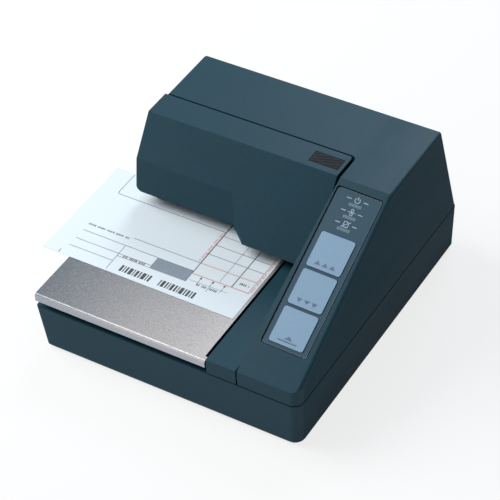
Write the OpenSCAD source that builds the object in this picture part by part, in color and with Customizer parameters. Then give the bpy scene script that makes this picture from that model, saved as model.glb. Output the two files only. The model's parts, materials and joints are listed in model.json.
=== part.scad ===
// Flat-bed slip printer: an overhanging print head housing above a metal slip table.
// Millimetres, +Z up, +Y to the back. The case is modelled about its own middle and then
// moved sideways, so that the whole part, slip included, stands centred on the origin. Heights are
// measured from a level that lies base_drop above the counter.

/* [Case] */
// Width of the case
body_w = 180; // [176:1:184]
// Depth of the case
body_d = 196.5; // [194:0.5:199]
// Height to the top of the housing
body_h = 101; // [99:0.5:103]
// Height of the joint between lower and upper case
seam_z = 28.4; // [27:0.1:29]
// Wall thickness of the mouldings
wall = 2.4; // [2:0.1:2.6]
// Height of the rubber feet below the case
foot_h = 1; // [0.8:0.1:1.4]

/* [Slip table] */
// Height of the top of the slip table
table_z = 37.6; // [37.4:0.1:37.8]
// Thickness of the table's sheet metal
table_t = 1; // [0.8:0.1:1.1]
// Length by which the slip hangs over the left side
slip_overhang = 19.4; // [10:0.2:24]
// Thickness of the slip
slip_t = 0.15; // [0.1:0.05:0.15]

/* [Housing] */
// Height of the underside of the print head housing
throat_z = 46; // [46:0.2:46.6]
// Height of the front edge of the control slope
slope_front_z = 39.8; // [39:0.2:41]
// Where the control slope meets the flat top
slope_top_y = 14.5; // [13:0.5:16]
// Where the flat top meets the sloping back
rear_top_y = 77.6; // [75:0.2:79]
// Leftmost edge of the flat top
top_left_x = -75; // [-76:0.5:-74]
// Outward lean of the side walls, per millimetre of drop
draft = 0.1; // [0.08:0.01:0.11]

/* [Ribbon cover] */
// Front edge of the cover's flat top
cover_break_y = 15; // [14:0.5:15]
// Front edge of the cover's low nose
cover_nose_y = -11; // [-12:0.5:-10]
// Front of the cover's upright left part
cover_left_y = 1.5; // [1:0.1:1.6]

/* [Control panel] */
// Width and height of one key
key_size = 22.3; // [21:0.1:22.6]
// Distance from one key to the next
key_pitch = 24.25; // [24:0.05:24.5]
// How far a key travels
key_travel = 1.2; // [0.8:0.1:1.4]

/* [Hidden] */
$fn = 48;
eps = 0.01;

// case
half_w = body_w / 2;
half_d = body_d / 2;
origin_x = slip_overhang / 2;
base_drop = 4.2;
case_bottom = foot_h - base_drop;
floor_under = 1.5;
floor_z = floor_under + wall;
skirt_t = 5;
seam_gap = 0.8;
upper_z = seam_z + seam_gap;
corner_r = 6.6;
back_corner_r = 1.6;
left_corner_r = 2;
edge_r = 2.2;
lower_left_lean = 4;
lower_back_lean = 2.4;
lower_front_lean = 0.6;
lower_edge_r = 1.5;
rear_lean = (half_d - rear_top_y) / (body_h - seam_z);
screw_spots = [[80, -84], [80, 78], [38, 76], [57, -62]];
screw_r = 1.5;
foot_spots = [for (x = [-70, 66]) for (y = [-82, 80]) [x, y]];
foot_r = 7;

// table and throat
plate_right = 26.5;
lip_right = 28.2;
lip_bottom = 32.5;
bend_r = 2;
guide_left = 29.3;
guide_right = 49;
guide_top = 39.6;
guide_back = 4;
column_left = 28.4;
control_left = 50;
control_top_left = 56;
control_lean = (control_top_left - control_left) / (body_h - slope_front_z);
housing_front = 35;
side_wall_top = table_z - table_t - 0.2;
rim_step = 0.3;
rim_in = wall + 0.4;

// print mechanism
print_y = 9;
feed_y = 19;
feed_r = 7.5;
feed_z = table_z - 0.15 - feed_r;
roller_spots = [-60, -20, 15];
press_r = 3;
press_z = table_z + 0.05 + slip_t + 0.1 + press_r;
press_pivot = [28, 48.7];
arm_spots = [-67.5, -40.5, -3, 24.5];
frame_left = -73.4;
frame_left_t = 1.5;
frame_right = 31;
frame_right_t = 2;
head_x = 18;
head_half = 9.5;
shaft_front = [22, 57];
shaft_front_r = 3;
shaft_rear = [40, 57];
shaft_rear_r = 2;
belt_y = 50;
belt_z = 57;
pulley_r = 6;
belt_gap = 0.1;
belt_t = 1.2;
drive_x = 48;
idler_x = -64;
cassette_z = 69.5;
cassette_h = 15;
cassette_left = -71.6;
ribbon_front = 8.7;
ribbon_back = 14;
knob_spot = [12, 17.8];
stop_y = 24;
stop_x = -40;

// gears: module 0.5, feed gear and motor pinion
gear_module = 0.5;
gear_teeth = 40;
pinion_teeth = 12;
gear_gap = 0.05;
gear_angle = 75;
gear_distance = gear_module * (gear_teeth + pinion_teeth) / 2 + gear_gap;
pinion_y = feed_y - gear_distance * cos(gear_angle);
pinion_z = feed_z - gear_distance * sin(gear_angle);
motor_r = 11;

// cover and its hinge
cover_gap = 1;
cover_left_x = top_left_x - 1;
cover_right_x = control_top_left - 2.2;
cover_back_y = housing_front - cover_gap;
cover_step_x = -11.5;
cover_step_slope = 0.94;
cover_corner_r = 4;
back_fillet_r = 2.2;
hinge_y = 22;
hinge_z = 96.5;
hinge_r = 1.2;
running = 0.05;
ear_spots = [-70.2, 41.3];
ear_w = 2.4;
pad_front_y = 19.3;
pad_back_y = 29;
pad_left_x = 32;
pad_right_x = 51.5;

// control panel, in the slope's own frame: x across, s up the slope, n out of it
slope_run = half_d + slope_top_y;
slope_angle = atan2(body_h - slope_front_z, slope_run);
panel_x = 71;
panel_turn = 1.1;
panel_w = 30;
panel_low_s = 21;
panel_high_s = 123.4;
panel_mid_s = (panel_low_s + panel_high_s) / 2;
panel_depth = 0.9;
panel_corner_r = 2;
overlay_t = 0.6;
key_spots = [for (i = [0:2]) 35 + i * key_pitch];
key_gap = 0.25;
key_r = 1.6;
key_top = 0.2;
lamp_spots = [99.4, 107.2, 115];
lamp_w = 8.4;
lamp_h = 1.9;
board_n = -11;
board_t = 1.6;
dome_h = 3.4;
board_posts = [[62, 18.4], [80, 18.4], [60.9, 106], [81.5, 106]];

// rear connectors
port_x = -32;
inlet_x = 14;
drawer_x = 46;
switch_x = 70;
port_z = 16;
rear_face_y = half_d - 1.9;
board_z = 8.4;
rocker_tilt = 8;

// ---- helpers -------------------------------------------------------------------------

// A block between two corners.
module block(low, high) {
    translate(low) cube(high - low);
}

// A round bar along X, Y or Z.
module bar_x(x0, x1, y, z, r) {
    translate([x0, y, z]) rotate([0, 90, 0]) cylinder(h = x1 - x0, r = r);
}

module bar_y(y0, y1, x, z, r) {
    translate([x, y0, z]) rotate([-90, 0, 0]) cylinder(h = y1 - y0, r = r);
}

module bar_z(z0, z1, x, y, r) {
    translate([x, y, z0]) cylinder(h = z1 - z0, r = r);
}

// A side view (y, z) stretched along X, and a front view (x, z) stretched along Y.
module stretch_x(x0, x1) {
    translate([x0, 0, 0]) rotate([90, 0, 90]) linear_extrude(x1 - x0) children();
}

module stretch_y(y0, y1) {
    translate([0, y1, 0]) rotate([90, 0, 0]) linear_extrude(y1 - y0) children();
}

// A rectangle with round corners, drawn about its middle.
module round_rect(w, h, r) {
    square([w - 2 * r, h], center = true);
    square([w, h - 2 * r], center = true);
    for (i = [-1, 1]) for (j = [-1, 1]) translate([i * (w / 2 - r), j * (h / 2 - r)]) circle(r = r);
}

// Everything on the control slope: x across the case, s up the slope, n out of it. The whole panel is
// turned a little about its own middle, so that it follows the slanting left edge of the slope.
module on_slope(x = 0, s = 0, n = 0) {
    translate([panel_x, -half_d, slope_front_z]) rotate([slope_angle, 0, 0]) translate([0, panel_mid_s, n])
        rotate(-panel_turn) translate([x - panel_x, s - panel_mid_s, 0]) children();
}

// A gear blank with straight-sided teeth, drawn flat about its own axis.
module gear_outline(teeth) {
    pitch_r = gear_module * teeth / 2;
    tip_r = pitch_r + 0.8 * gear_module;
    root_r = pitch_r - 1.15 * gear_module;
    step = 360 / teeth;
    polygon([for (i = [0:teeth - 1]) for (p = [[-0.30, root_r], [-0.22, pitch_r], [-0.11, tip_r],
        [0.11, tip_r], [0.22, pitch_r], [0.30, root_r]])
        [p[1] * cos((i + p[0]) * step), p[1] * sin((i + p[0]) * step)]]);
}

// ---- case ----------------------------------------------------------------------------

// Height of the control slope and place of the sloping back at a height.
function back_y(z) = half_d - (z - seam_z) * rear_lean;

function left_x(z) = top_left_x - draft * (body_h - z);

function control_x(z) = control_top_left - control_lean * (body_h - z);

// Footprint of the case between two corners, drawn flat: the corner by the keys is the roundest.
module footprint(left, front, right, back, inset = 0) {
    big = corner_r - inset / 2;
    rear = back_corner_r - inset / 2;
    small = left_corner_r - inset / 2;
    polygon([[left + small, front], [right - big, front], [right, front + big], [right, back - rear],
        [right - rear, back], [left + small, back], [left, back - small], [left, front + small]]);
    translate([right - big, front + big]) circle(r = big);
    translate([right - rear, back - rear]) circle(r = rear);
    for (y = [front + small, back - small]) translate([left + small, y]) circle(r = small);
}

// Outline of the lower case at a height, which leans in towards the floor.
module lower_outline(z, inset) {
    share = (seam_z - z) / (seam_z - case_bottom);
    footprint(-half_w + lower_left_lean * share + inset, -half_d + lower_front_lean * share + inset,
        half_w - lower_front_lean * share - inset, half_d - lower_back_lean * share - inset, min(inset, wall),
        $fn = 32);
}

module lower_body(inset, bottom, top) {
    hull() for (step = [[bottom, lower_edge_r], [bottom + 0.4, 0.6], [bottom + lower_edge_r, 0], [top - eps, 0]])
        translate([0, 0, step[0]]) linear_extrude(eps) lower_outline(step[0], inset + step[1]);
}

// Upright rim that carries the table on its left and at its back, with a low ledge in front.
module table_rim(top, front) {
    intersection() {
        translate([0, 0, seam_z - 1]) linear_extrude(top - seam_z + 1) difference() {
            footprint(-half_w + rim_step, -half_d + rim_step, half_w - rim_step, half_d - rim_step, rim_step);
            footprint(-half_w + rim_in, -half_d + rim_in, half_w - rim_in, half_d - rim_in, rim_in);
        }
        block([-half_w, front, 0], [column_left - 0.4, half_d, top]);
    }
}

// Tongue that stands inside the upper case, along one side between two corners.
module seam_tongue(low, high) {
    block([low[0], low[1], seam_z - 3], [high[0], high[1], seam_z + 2]);
}

module lower_case() {
    inner_x = half_w - wall;
    inner_y = half_d - wall;
    tongue = 1.1;
    color("#3c4a50") difference() {
        union() {
            difference() {
                lower_body(0, case_bottom, seam_z);
                lower_body(wall, floor_z, seam_z + 1);
                floor_recess();
            }
            table_rim(side_wall_top, -half_d + 7);
            table_rim(seam_z + 0.4, -half_d);
            // ledge that roots the tongue in the wall
            difference() {
                translate([0, 0, seam_z - 4]) linear_extrude(2) difference() {
                    footprint(-half_w + 1, -half_d + 1, half_w - 1, half_d - 1, 1);
                    footprint(-half_w + 6, -half_d + 3.7, half_w - 3.7, half_d - 4.8, wall);
                }
                block([-half_w, -half_d, 0], [control_left + 3, half_d - 6, body_h]);
                block([-half_w, 0, 0], [column_left + 3, half_d, body_h]);
            }
            seam_tongue([inner_x - 0.1 - tongue, -half_d + 9], [inner_x - 0.1, half_d - 6]);
            seam_tongue([control_left + 3, -inner_y + 0.1], [half_w - 9, -inner_y + 0.1 + tongue]);
            seam_tongue([column_left + 3, inner_y - 2.2], [half_w - 6, inner_y - 1.1]);
            for (p = screw_spots) bar_z(floor_z - eps, seam_z, p[0], p[1], 4);
            for (p = board_corners()) bar_z(floor_z - eps, board_z, p[0], p[1], 3);
        }
        for (p = screw_spots) {
            bar_z(0, seam_z + 1, p[0], p[1], screw_r + 0.2);
            bar_z(0, floor_under + 3, p[0], p[1], 3.2);
        }
        for (p = board_corners()) bar_z(floor_z, board_z + 1, p[0], p[1], 1.25);
        for (p = foot_spots) bar_z(0, floor_under + 1, p[0], p[1], foot_r + running);
        rear_cutouts();
    }
}

// Hollow under the floor, which leaves a skirt round the base; the feet stand in it.
module floor_recess() {
    translate([0, 0, case_bottom - 1]) linear_extrude(floor_under - case_bottom + 1)
        footprint(-half_w + lower_left_lean + skirt_t, -half_d + skirt_t,
            half_w - skirt_t, half_d - lower_back_lean - skirt_t, 1);
}

function board_corners() = [for (x = [-69, 20]) for (y = [-74, 76]) [x, y]];

// Openings in the back wall for the connectors and the switch.
module rear_cutouts() {
    y0 = half_d - 8;
    y1 = half_d + 1;
    block([port_x - 26.9, y0, port_z - 6.6], [port_x + 26.9, y1, port_z + 6.6]);
    block([inlet_x - 7.2, y0, port_z - 6.2], [inlet_x + 7.2, y1, port_z + 6.2]);
    block([drawer_x - 7.2, y0, port_z - 6.2], [drawer_x + 7.2, y1, port_z + 6.2]);
    block([switch_x - 6.6, y0, port_z - 9.1], [switch_x + 6.6, y1, port_z + 9.1]);
    bar_y(y0, y1, -70, port_z, 1.25);
}

// Side view of the right-hand body, kept back from its outline by an inset.
module control_profile(inset, bottom) {
    offset(delta = -inset) polygon([[-half_d, bottom], [-half_d, slope_front_z], [slope_top_y, body_h],
        [rear_top_y, body_h], [back_y(bottom), bottom]]);
}

// Same view for the inside, as plain points so that its faces stay true planes.
module inner_profile(front) {
    rise = wall / cos(slope_angle);
    front_z = slope_front_z - rise + wall * tan(slope_angle);
    top_z = body_h - wall;
    top_front = slope_top_y + (rise - wall) / tan(slope_angle);
    back = wall * sqrt(1 + rear_lean * rear_lean);
    difference() {
        polygon([[-half_d + wall, 0], [-half_d + wall, front_z], [top_front, top_z],
            [back_y(top_z) - back, top_z], [back_y(0) - back, 0]]);
        translate([front - 400, -1]) square([400, 200]);
    }
}

// The right-hand body, whose long top edge is rounded.
module control_outer() {
    low = seam_z - 8;
    intersection() {
        hull() {
            stretch_x(control_left - 4, control_left - 3) control_profile(0, low);
            for (a = [0:18:90])
                stretch_x(half_w - edge_r + edge_r * sin(a) - eps, half_w - edge_r + edge_r * sin(a))
                    control_profile(edge_r * (1 - cos(a)), low);
        }
        stretch_y(-half_d - 1, half_d + 1) polygon([[control_left, upper_z], [control_left, slope_front_z],
            [control_x(body_h + 1), body_h + 1], [half_w + 1, body_h + 1], [half_w + 1, upper_z]]);
        linear_extrude(body_h + 1) footprint(0, -half_d, half_w, half_d);
    }
}

// The housing over the table, whose left end leans outwards and is rounded.
module housing_outer() {
    low = throat_z - 8;
    intersection() {
        hull() {
            stretch_x(60, 61) housing_profile(0, low);
            for (a = [0:18:90]) multmatrix([[1, 0, draft, -draft * body_h], [0, 1, 0, 0], [0, 0, 1, 0]])
                stretch_x(top_left_x + edge_r * (1 - sin(a)), top_left_x + edge_r * (1 - sin(a)) + eps)
                    housing_profile(edge_r * (1 - cos(a)), low);
        }
        block([-half_w, housing_front, throat_z], [60, half_d, body_h]);
    }
}

module housing_profile(inset, bottom) {
    offset(delta = -inset) polygon([[housing_front - 8, bottom], [housing_front - 8, body_h],
        [rear_top_y, body_h], [back_y(bottom), bottom]]);
}

// The hollow inside the upper case: control body, housing and the column that joins them.
module upper_hollow() {
    intersection() {
        stretch_x(control_left, half_w - wall) inner_profile(-half_d);
        stretch_y(-half_d, half_d) polygon([[control_left + wall, 0], [control_left + wall, slope_front_z],
            [control_x(body_h) + wall, body_h], [half_w - wall, body_h], [half_w - wall, 0]]);
    }
    intersection() {
        stretch_x(-half_w, half_w - wall) inner_profile(housing_front - 1);
        stretch_y(housing_front - 1, half_d) polygon([[left_x(throat_z - 1) + wall, throat_z - 1],
            [left_x(body_h) + wall, body_h], [control_left + 4, body_h], [control_left + 4, throat_z - 1]]);
    }
    intersection() {
        stretch_x(column_left + wall, control_left + 6) inner_profile(housing_front + wall);
        block([column_left, 0, 0], [control_left + 6, half_d, throat_z]);
    }
    intersection() {
        stretch_x(control_left, control_left + 8) inner_profile(housing_front + wall);
        block([control_left, housing_front + wall, 0], [control_left + 8, half_d, body_h - wall]);
    }
}

module upper_case() {
    color("#3c4a50") difference() {
        union() {
            difference() {
                union() {
                    control_outer();
                    housing_outer();
                    stretch_x(column_left, control_left + 6) polygon([[housing_front, upper_z],
                        [housing_front, throat_z + 1], [back_y(throat_z + 1), throat_z + 1],
                        [back_y(upper_z), upper_z]]);
                }
                upper_hollow();
            }
            beside_control(control_top_left, housing_front, throat_z, body_h)
                quarter_corner(back_fillet_r + cover_gap, 1);
            for (p = screw_spots) bar_z(upper_z, upper_z + 9, p[0], p[1], 4);
            // ribs from the screw posts to the nearest wall
            block([80, -85, upper_z + 2], [half_w - 1, -83, upper_z + 9]);
            block([80, 77, upper_z + 2], [half_w - 1, 79, upper_z + 9]);
            block([37, 76, upper_z + 2], [39, half_d - 2.95, upper_z + 9]);
            block([control_left + 1, -63, upper_z + 2], [57, -61, upper_z + 9]);
            // posts that carry the keypad board
            for (p = board_posts) on_slope(p[0], p[1]) translate([0, 0, board_n])
                cylinder(h = -board_n - wall + 0.2, r = 2.1);
        }
        for (p = screw_spots) bar_z(upper_z - 1, upper_z + 8, p[0], p[1], screw_r);
        // slot through which the right side frame passes
        block([frame_right - 0.2, housing_front - 1, upper_z - 1],
            [frame_right + frame_right_t + 0.2, housing_front + wall + 1, throat_z + 2]);
        on_slope(panel_x, panel_mid_s, -panel_depth) linear_extrude(3)
            round_rect(panel_w, panel_high_s - panel_low_s, panel_corner_r);
        for (s = key_spots) on_slope(panel_x, s, -wall - 2) linear_extrude(4)
            round_rect(key_size + 2 * key_gap, key_size + 2 * key_gap, key_r + key_gap);
        for (s = lamp_spots) on_slope(panel_x, s, -wall - 2) linear_extrude(4)
            square([lamp_w + 0.1, lamp_h + 0.1], center = true);
    }
}

module rubber_feet() {
    color("#17181a") for (p = foot_spots) bar_z(-base_drop, floor_under + 1, p[0], p[1], foot_r);
}

module case_screws() {
    color("#b9bcc0") for (p = screw_spots) difference() {
        union() {
            bar_z(floor_under + 1, floor_under + 3, p[0], p[1], 2.8);
            bar_z(floor_under + 3 - eps, upper_z + 7.5, p[0], p[1], screw_r);
        }
        translate([p[0], p[1], floor_under + 1]) cube([3.4, 0.7, 1.6], center = true);
        translate([p[0], p[1], floor_under + 1]) cube([0.7, 3.4, 1.6], center = true);
    }
}

// ---- ribbon cover ----------------------------------------------------------------------

// Side view of the cover: flat top, sloping front, open back. y at a height on the front:
function cover_front(z) = cover_break_y
    - (cover_break_y - cover_nose_y) * (body_h - z) / (body_h - throat_z);

module cover_profile(inset) {
    rise = inset * sqrt(1 + pow((cover_break_y - cover_nose_y) / (body_h - throat_z), 2));
    top = body_h - inset;
    back = cover_back_y + inset;
    low = throat_z - inset;
    polygon([[back, top], [cover_front(top) + rise, top], [cover_front(low) + rise, low], [back, low]]);
}

// Plan of what is missing in front of the upright left part, with its slanting right end.
module cover_step(inset) {
    shift = inset * sqrt(1 + cover_step_slope * cover_step_slope) / cover_step_slope - inset / cover_step_slope;
    y0 = cover_left_y + inset;
    y1 = cover_nose_y - 8;
    x0 = cover_step_x + shift;
    polygon([[-200, y0], [x0, y0], [x0 + (y0 - y1) / cover_step_slope, y1], [-200, y1]]);
}

module cover_body(inset) {
    difference() {
        intersection() {
            stretch_x(-half_w, control_top_left) cover_profile(inset);
            stretch_y(-half_d, half_d) polygon([
                [cover_left_x - draft * (body_h - throat_z + 5) + inset, throat_z - 5],
                [cover_left_x + draft * 5 + inset, body_h + 5],
                [cover_right_x + control_lean * 5 - inset, body_h + 5],
                [cover_right_x - control_lean * (body_h - throat_z + 5) - inset, throat_z - 5]]);
        }
        translate([0, 0, -1]) linear_extrude(body_h + 5) cover_step(inset);
        if (inset == 0) stretch_y(-half_d, half_d) cover_corner();
        if (inset == 0) beside_control(cover_right_x, cover_back_y, -1, body_h + 1)
            quarter_corner(back_fillet_r, 1);
    }
}

// Stands a plan shape at a place that leans with the control body's left wall, between two heights.
module beside_control(x, y, low, high) {
    multmatrix([[1, 0, control_lean, x - control_lean * body_h], [0, 1, 0, y], [0, 0, 1, 0]])
        translate([0, 0, low]) linear_extrude(high - low) children();
}

// What a round corner leaves out of a square one whose tip is at the origin, reaching past it.
module quarter_corner(r, reach) {
    polygon(concat([for (a = [0:18:90]) [r * cos(a) - r, r * sin(a) - r]],
        [[-r, reach], [reach, reach], [reach, -r]]));
}

// What the round lower left corner of the cover leaves out (front view).
module cover_corner() {
    r = cover_corner_r;
    centre = [cover_left_x - draft * (body_h - throat_z) + (1 + draft) * r, throat_z + r];
    difference() {
        translate(centre - [r + 2, r + 1]) square([r + 2, r + 1]);
        translate(centre) circle(r = r);
    }
}

module ribbon_cover() {
    color("#3e4c52") difference() {
        union() {
            difference() {
                cover_body(0);
                cover_body(wall);
            }
            for (x = ear_spots) bar_x(x, x + ear_w, hinge_y, hinge_z, 3.2);
        }
        for (x = ear_spots) bar_x(x - 1, x + ear_w + 1, hinge_y, hinge_z, hinge_r + running);
        block([pad_left_x, pad_front_y, body_h - 0.7], [pad_right_x, pad_back_y, body_h + 1]);
    }
}

// Ribbed pad let into the cover's top, where a thumb lifts it.
module grip_pad() {
    rib = 1.3;
    angle = 32;
    color("#1d2023") intersection() {
        block([pad_left_x, pad_front_y, body_h - 0.7], [pad_right_x, pad_back_y, body_h + 0.2]);
        union() {
            block([pad_left_x, pad_front_y, body_h - 0.7], [pad_right_x, pad_back_y, body_h - 0.2]);
            translate([(pad_left_x + pad_right_x) / 2, (pad_front_y + pad_back_y) / 2, body_h - 0.3])
                rotate(angle) for (i = [-10:10]) translate([-20, i * rib - rib / 4, 0]) cube([40, rib / 2, 0.4]);
        }
    }
}

module hinge_brackets() {
    color("#9aa0a3") difference() {
        union() {
            block([frame_left + frame_left_t, 17, 74], [ear_spots[0] - 0.3, hinge_y + 1.9, hinge_z]);
            bar_x(frame_left + frame_left_t, ear_spots[0] - 0.3, hinge_y, hinge_z, 1.9);
            block([ear_spots[1] + ear_w + 0.3, 17, 80], [ear_spots[1] + ear_w + 2.3, hinge_y + 1.9, hinge_z]);
            bar_x(ear_spots[1] + ear_w + 0.3, ear_spots[1] + ear_w + 2.3, hinge_y, hinge_z, 1.9);
            block([frame_right + frame_right_t, 17, 80], [ear_spots[1] + ear_w + 2.3, hinge_y + 1.9, 82]);
        }
        bar_x(-half_w, half_w, hinge_y, hinge_z, hinge_r);
    }
}

module hinge_pins() {
    color("#c9ccce") {
        bar_x(frame_left + frame_left_t, ear_spots[0] + ear_w, hinge_y, hinge_z, hinge_r);
        bar_x(ear_spots[1], ear_spots[1] + ear_w + 2.3, hinge_y, hinge_z, hinge_r);
    }
}

// ---- slip table --------------------------------------------------------------------------

module slip_table() {
    top = table_z;
    low = table_z - table_t;
    front = -half_d + 0.2;
    color("#b7b2ab") difference() {
        union() {
            intersection() {
                block([-half_w, front + bend_r, low], [plate_right, half_d - 0.2, top]);
                linear_extrude(body_h) footprint(-half_w, -half_d, half_w, half_d - 0.2);
            }
            block([-half_w + 0.2, front + bend_r, low], [lip_right, front + bend_r + 2, top]);
            stretch_x(-half_w + 0.2, lip_right) lip_profile(front);
        }
        block([-67, print_y - 3.4, low - 1], [24, print_y + 3.4, top + 1]);
        for (x = roller_spots) block([x - 7, feed_y - 4.8, low - 1], [x + 7, feed_y + 4.8, top + 1]);
        for (x = [-7, 7]) block([stop_x + x - 2.5, stop_y - 1.4, low - 1],
            [stop_x + x + 2.5, stop_y + 1.4, top + 1]);
        for (p = sensor_spots()) bar_z(low - 1, top + 1, p[0], p[1], 2);
    }
}

// Front edge of the table: a round bend and an upright lip (side view).
module lip_profile(front) {
    centre = [front + bend_r, table_z - bend_r];
    translate([front, lip_bottom]) square([table_t, centre[1] - lip_bottom + eps]);
    intersection() {
        translate(centre) difference() {
            circle(r = bend_r);
            circle(r = bend_r - table_t);
        }
        translate([front, centre[1]]) square([bend_r + eps, bend_r]);
    }
}

function sensor_spots() = [[-35, -8], [-4, 36]];

module side_guide() {
    t = 2;
    color("#46555c") difference() {
        block([guide_left, -half_d, upper_z], [guide_right, guide_back, guide_top]);
        block([guide_left + t, -half_d + wall, upper_z - 1], [guide_right - t, guide_back - t, guide_top - t]);
    }
}

module slip() {
    z = table_z + 0.05;
    color("#f4f4f2") block([-half_w - slip_overhang, -61.1, z], [25, 21.9, z + slip_t]);
}

// ---- control panel ---------------------------------------------------------------------

module panel_overlay() {
    color("#56656c") on_slope(panel_x, panel_mid_s, -panel_depth) difference() {
        linear_extrude(overlay_t) round_rect(panel_w - 0.7, panel_high_s - panel_low_s - 0.7, panel_corner_r - 0.35);
        for (s = key_spots) translate([0, s - panel_mid_s, -1]) linear_extrude(3)
            round_rect(key_size + 2 * key_gap, key_size + 2 * key_gap, key_r + key_gap);
        for (s = lamp_spots) translate([0, s - panel_mid_s, 0]) cube([lamp_w + 0.1, lamp_h + 0.1, 4], center = true);
    }
}

// One key: cap, side flanges that hold it under the case wall, and the stem below.
module key(s) {
    color("#a9bccb") on_slope(panel_x, s) {
        translate([0, 0, -4]) linear_extrude(4 + key_top) round_rect(key_size, key_size, key_r);
        translate([0, 0, -3.4]) cube([key_size + 3, key_size - 1, 1.2], center = true);
        translate([0, 0, board_n + dome_h]) cylinder(h = -board_n - dome_h - 3, r = 3);
    }
}

// Rubber dome under a key, which folds as the key goes down.
module dome(s) {
    color("#d8d8d4") on_slope(panel_x, s, board_n) difference() {
        cylinder(h = dome_h, r1 = 5, r2 = 3.2);
        translate([0, 0, -eps]) cylinder(h = dome_h - 0.8, r1 = 4.2, r2 = 2.4);
    }
}

module forward_key() { key(key_spots[2]); }

module reverse_key() { key(key_spots[1]); }

module release_key() { key(key_spots[0]); }

module forward_dome() { dome(key_spots[2]); }

module reverse_dome() { dome(key_spots[1]); }

module release_dome() { dome(key_spots[0]); }

module indicator_lenses() {
    color("#c4d2da") for (s = lamp_spots) on_slope(panel_x, s, (board_n + 1.2 - 0.2) / 2)
        cube([lamp_w, lamp_h, -board_n - 1.4], center = true);
}

// Keypad board with its three lamps.
module keypad_board() {
    color("#3f6b4a") {
        on_slope(panel_x, 69, board_n - board_t / 2) cube([25, 106, board_t], center = true);
        for (s = lamp_spots) on_slope(panel_x, s, board_n + 0.5) cube([4, 1.8, 1.2], center = true);
    }
}

// ---- frame of the print mechanism --------------------------------------------------------

module side_frame_left() {
    color("#8d9396") difference() {
        stretch_x(frame_left, frame_left + frame_left_t) polygon([[9, throat_z + 0.2], [30.8, throat_z + 0.2],
            [30.8, throat_z + 1.4], [84, throat_z + 1.4], [76, 86], [30, 86], [30, 84], [21, 84], [9, 72]]);
        shaft_holes();
        block([frame_left - 1, 29.8, 82.5], [frame_left + 3, 40.2, 90]);
    }
}

module side_frame_right() {
    color("#8d9396") difference() {
        stretch_x(frame_right, frame_right + frame_right_t) polygon([[6, floor_z], [84, floor_z], [84, 60],
            [76, 86], [30, 86], [30, 84], [21, 84], [6, 68]]);
        shaft_holes();
        block([frame_right - 1, 29.8, 82.5], [frame_right + 3, 40.2, 90]);
        block([frame_right - 1, belt_y - 5, belt_z - 9], [frame_right + 3, belt_y + 5, belt_z + 9]);
        bar_x(frame_right - 1, frame_right + 3, feed_y, feed_z, 2.5 + running);
    }
}

module shaft_holes() {
    bar_x(-half_w, half_w, shaft_front[0], shaft_front[1], shaft_front_r);
    bar_x(-half_w, half_w, shaft_rear[0], shaft_rear[1], shaft_rear_r);
    bar_x(-half_w, half_w, press_pivot[0], press_pivot[1], hinge_r + running);
}

module rear_frame_plate() {
    color("#8d9396") block([frame_left + frame_left_t, 76, throat_z + 1.2], [frame_right, 77.5, 85]);
}

module upper_guide_plate() {
    color("#a3a8aa") block([-77, 31, throat_z], [frame_right, 84, throat_z + 1.2]);
}

// Left bearing plate and cross plate under the table.
module base_frame() {
    color("#8d9396") difference() {
        union() {
            block([-76, 2, floor_z], [-74.5, 42, side_wall_top]);
            block([-76, 2, 12], [frame_right, 42, 13.2]);
        }
        bar_x(-half_w, 0, feed_y, feed_z, 2.5 + running);
        bar_z(8, 16, stop_x, stop_y, 5);
    }
}

module front_guide_shaft() {
    color("#d5d8da") bar_x(frame_left, frame_right + frame_right_t, shaft_front[0], shaft_front[1], shaft_front_r);
}

module rear_guide_shaft() {
    color("#d5d8da") bar_x(frame_left, frame_right + frame_right_t, shaft_rear[0], shaft_rear[1], shaft_rear_r);
}

module head_carriage() {
    color("#2a2e31") difference() {
        union() {
            block([head_x - head_half, 16.2, 51], [head_x + head_half, 45.4, 63]);
            block([head_x + 2, 45, belt_z + pulley_r - 1.4], [head_x + 8, belt_y + 2, belt_z + pulley_r - 0.1]);
        }
        bar_x(0, 60, shaft_front[0], shaft_front[1], shaft_front_r + running);
        block([0, shaft_rear[0] - 4, shaft_rear[1] - shaft_rear_r - running],
            [60, shaft_rear[0] + 4, shaft_rear[1] + shaft_rear_r + running]);
    }
}

// Dot-matrix head: nose that points down at the slip, body and cooling fins.
module print_head() {
    color("#6b7073") {
        bar_z(38.6, 51, head_x, print_y, 4.5);
        block([head_x - head_half, 4.8, 50], [head_x + head_half, 16.2, 60]);
        for (i = [0:3]) block([head_x - head_half + i * 5.2, 5.4, 60 - eps], [head_x - head_half + i * 5.2 + 3.4, 16.2, 67]);
    }
}

module carriage_motor() {
    color("#3a3d40") difference() {
        bar_y(belt_y + 6, belt_y + 23, drive_x, belt_z, 13);
        bar_y(belt_y + 5, belt_y + 12, drive_x, belt_z, 1.5 + running);
    }
}

module motor_bracket() {
    color("#8d9396") difference() {
        block([frame_right + frame_right_t, belt_y + 4.5, 44], [62, belt_y + 6, 71]);
        bar_y(belt_y, belt_y + 8, drive_x, belt_z, 3.5);
    }
}

// Flanged belt pulley on an axis along Y.
module pulley(x) {
    bar_y(belt_y - 3, belt_y + 3, x, belt_z, pulley_r);
    bar_y(belt_y - 4, belt_y - 3, x, belt_z, pulley_r + 1);
}

module drive_pulley() {
    color("#c8b48a") {
        pulley(drive_x);
        bar_y(belt_y, belt_y + 11, drive_x, belt_z, 1.5);
    }
}

module idler_pulley() {
    color("#c8b48a") difference() {
        pulley(idler_x);
        bar_y(belt_y - 5, belt_y + 5, idler_x, belt_z, 1.5 + running);
    }
}

module idler_bracket() {
    color("#8d9396") {
        block([idler_x - 5, belt_y + 4.5, throat_z + 1.2], [idler_x + 5, belt_y + 6, belt_z + 5]);
        bar_y(belt_y - 4, belt_y + 4.6, idler_x, belt_z, 1.5);
    }
}

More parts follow.
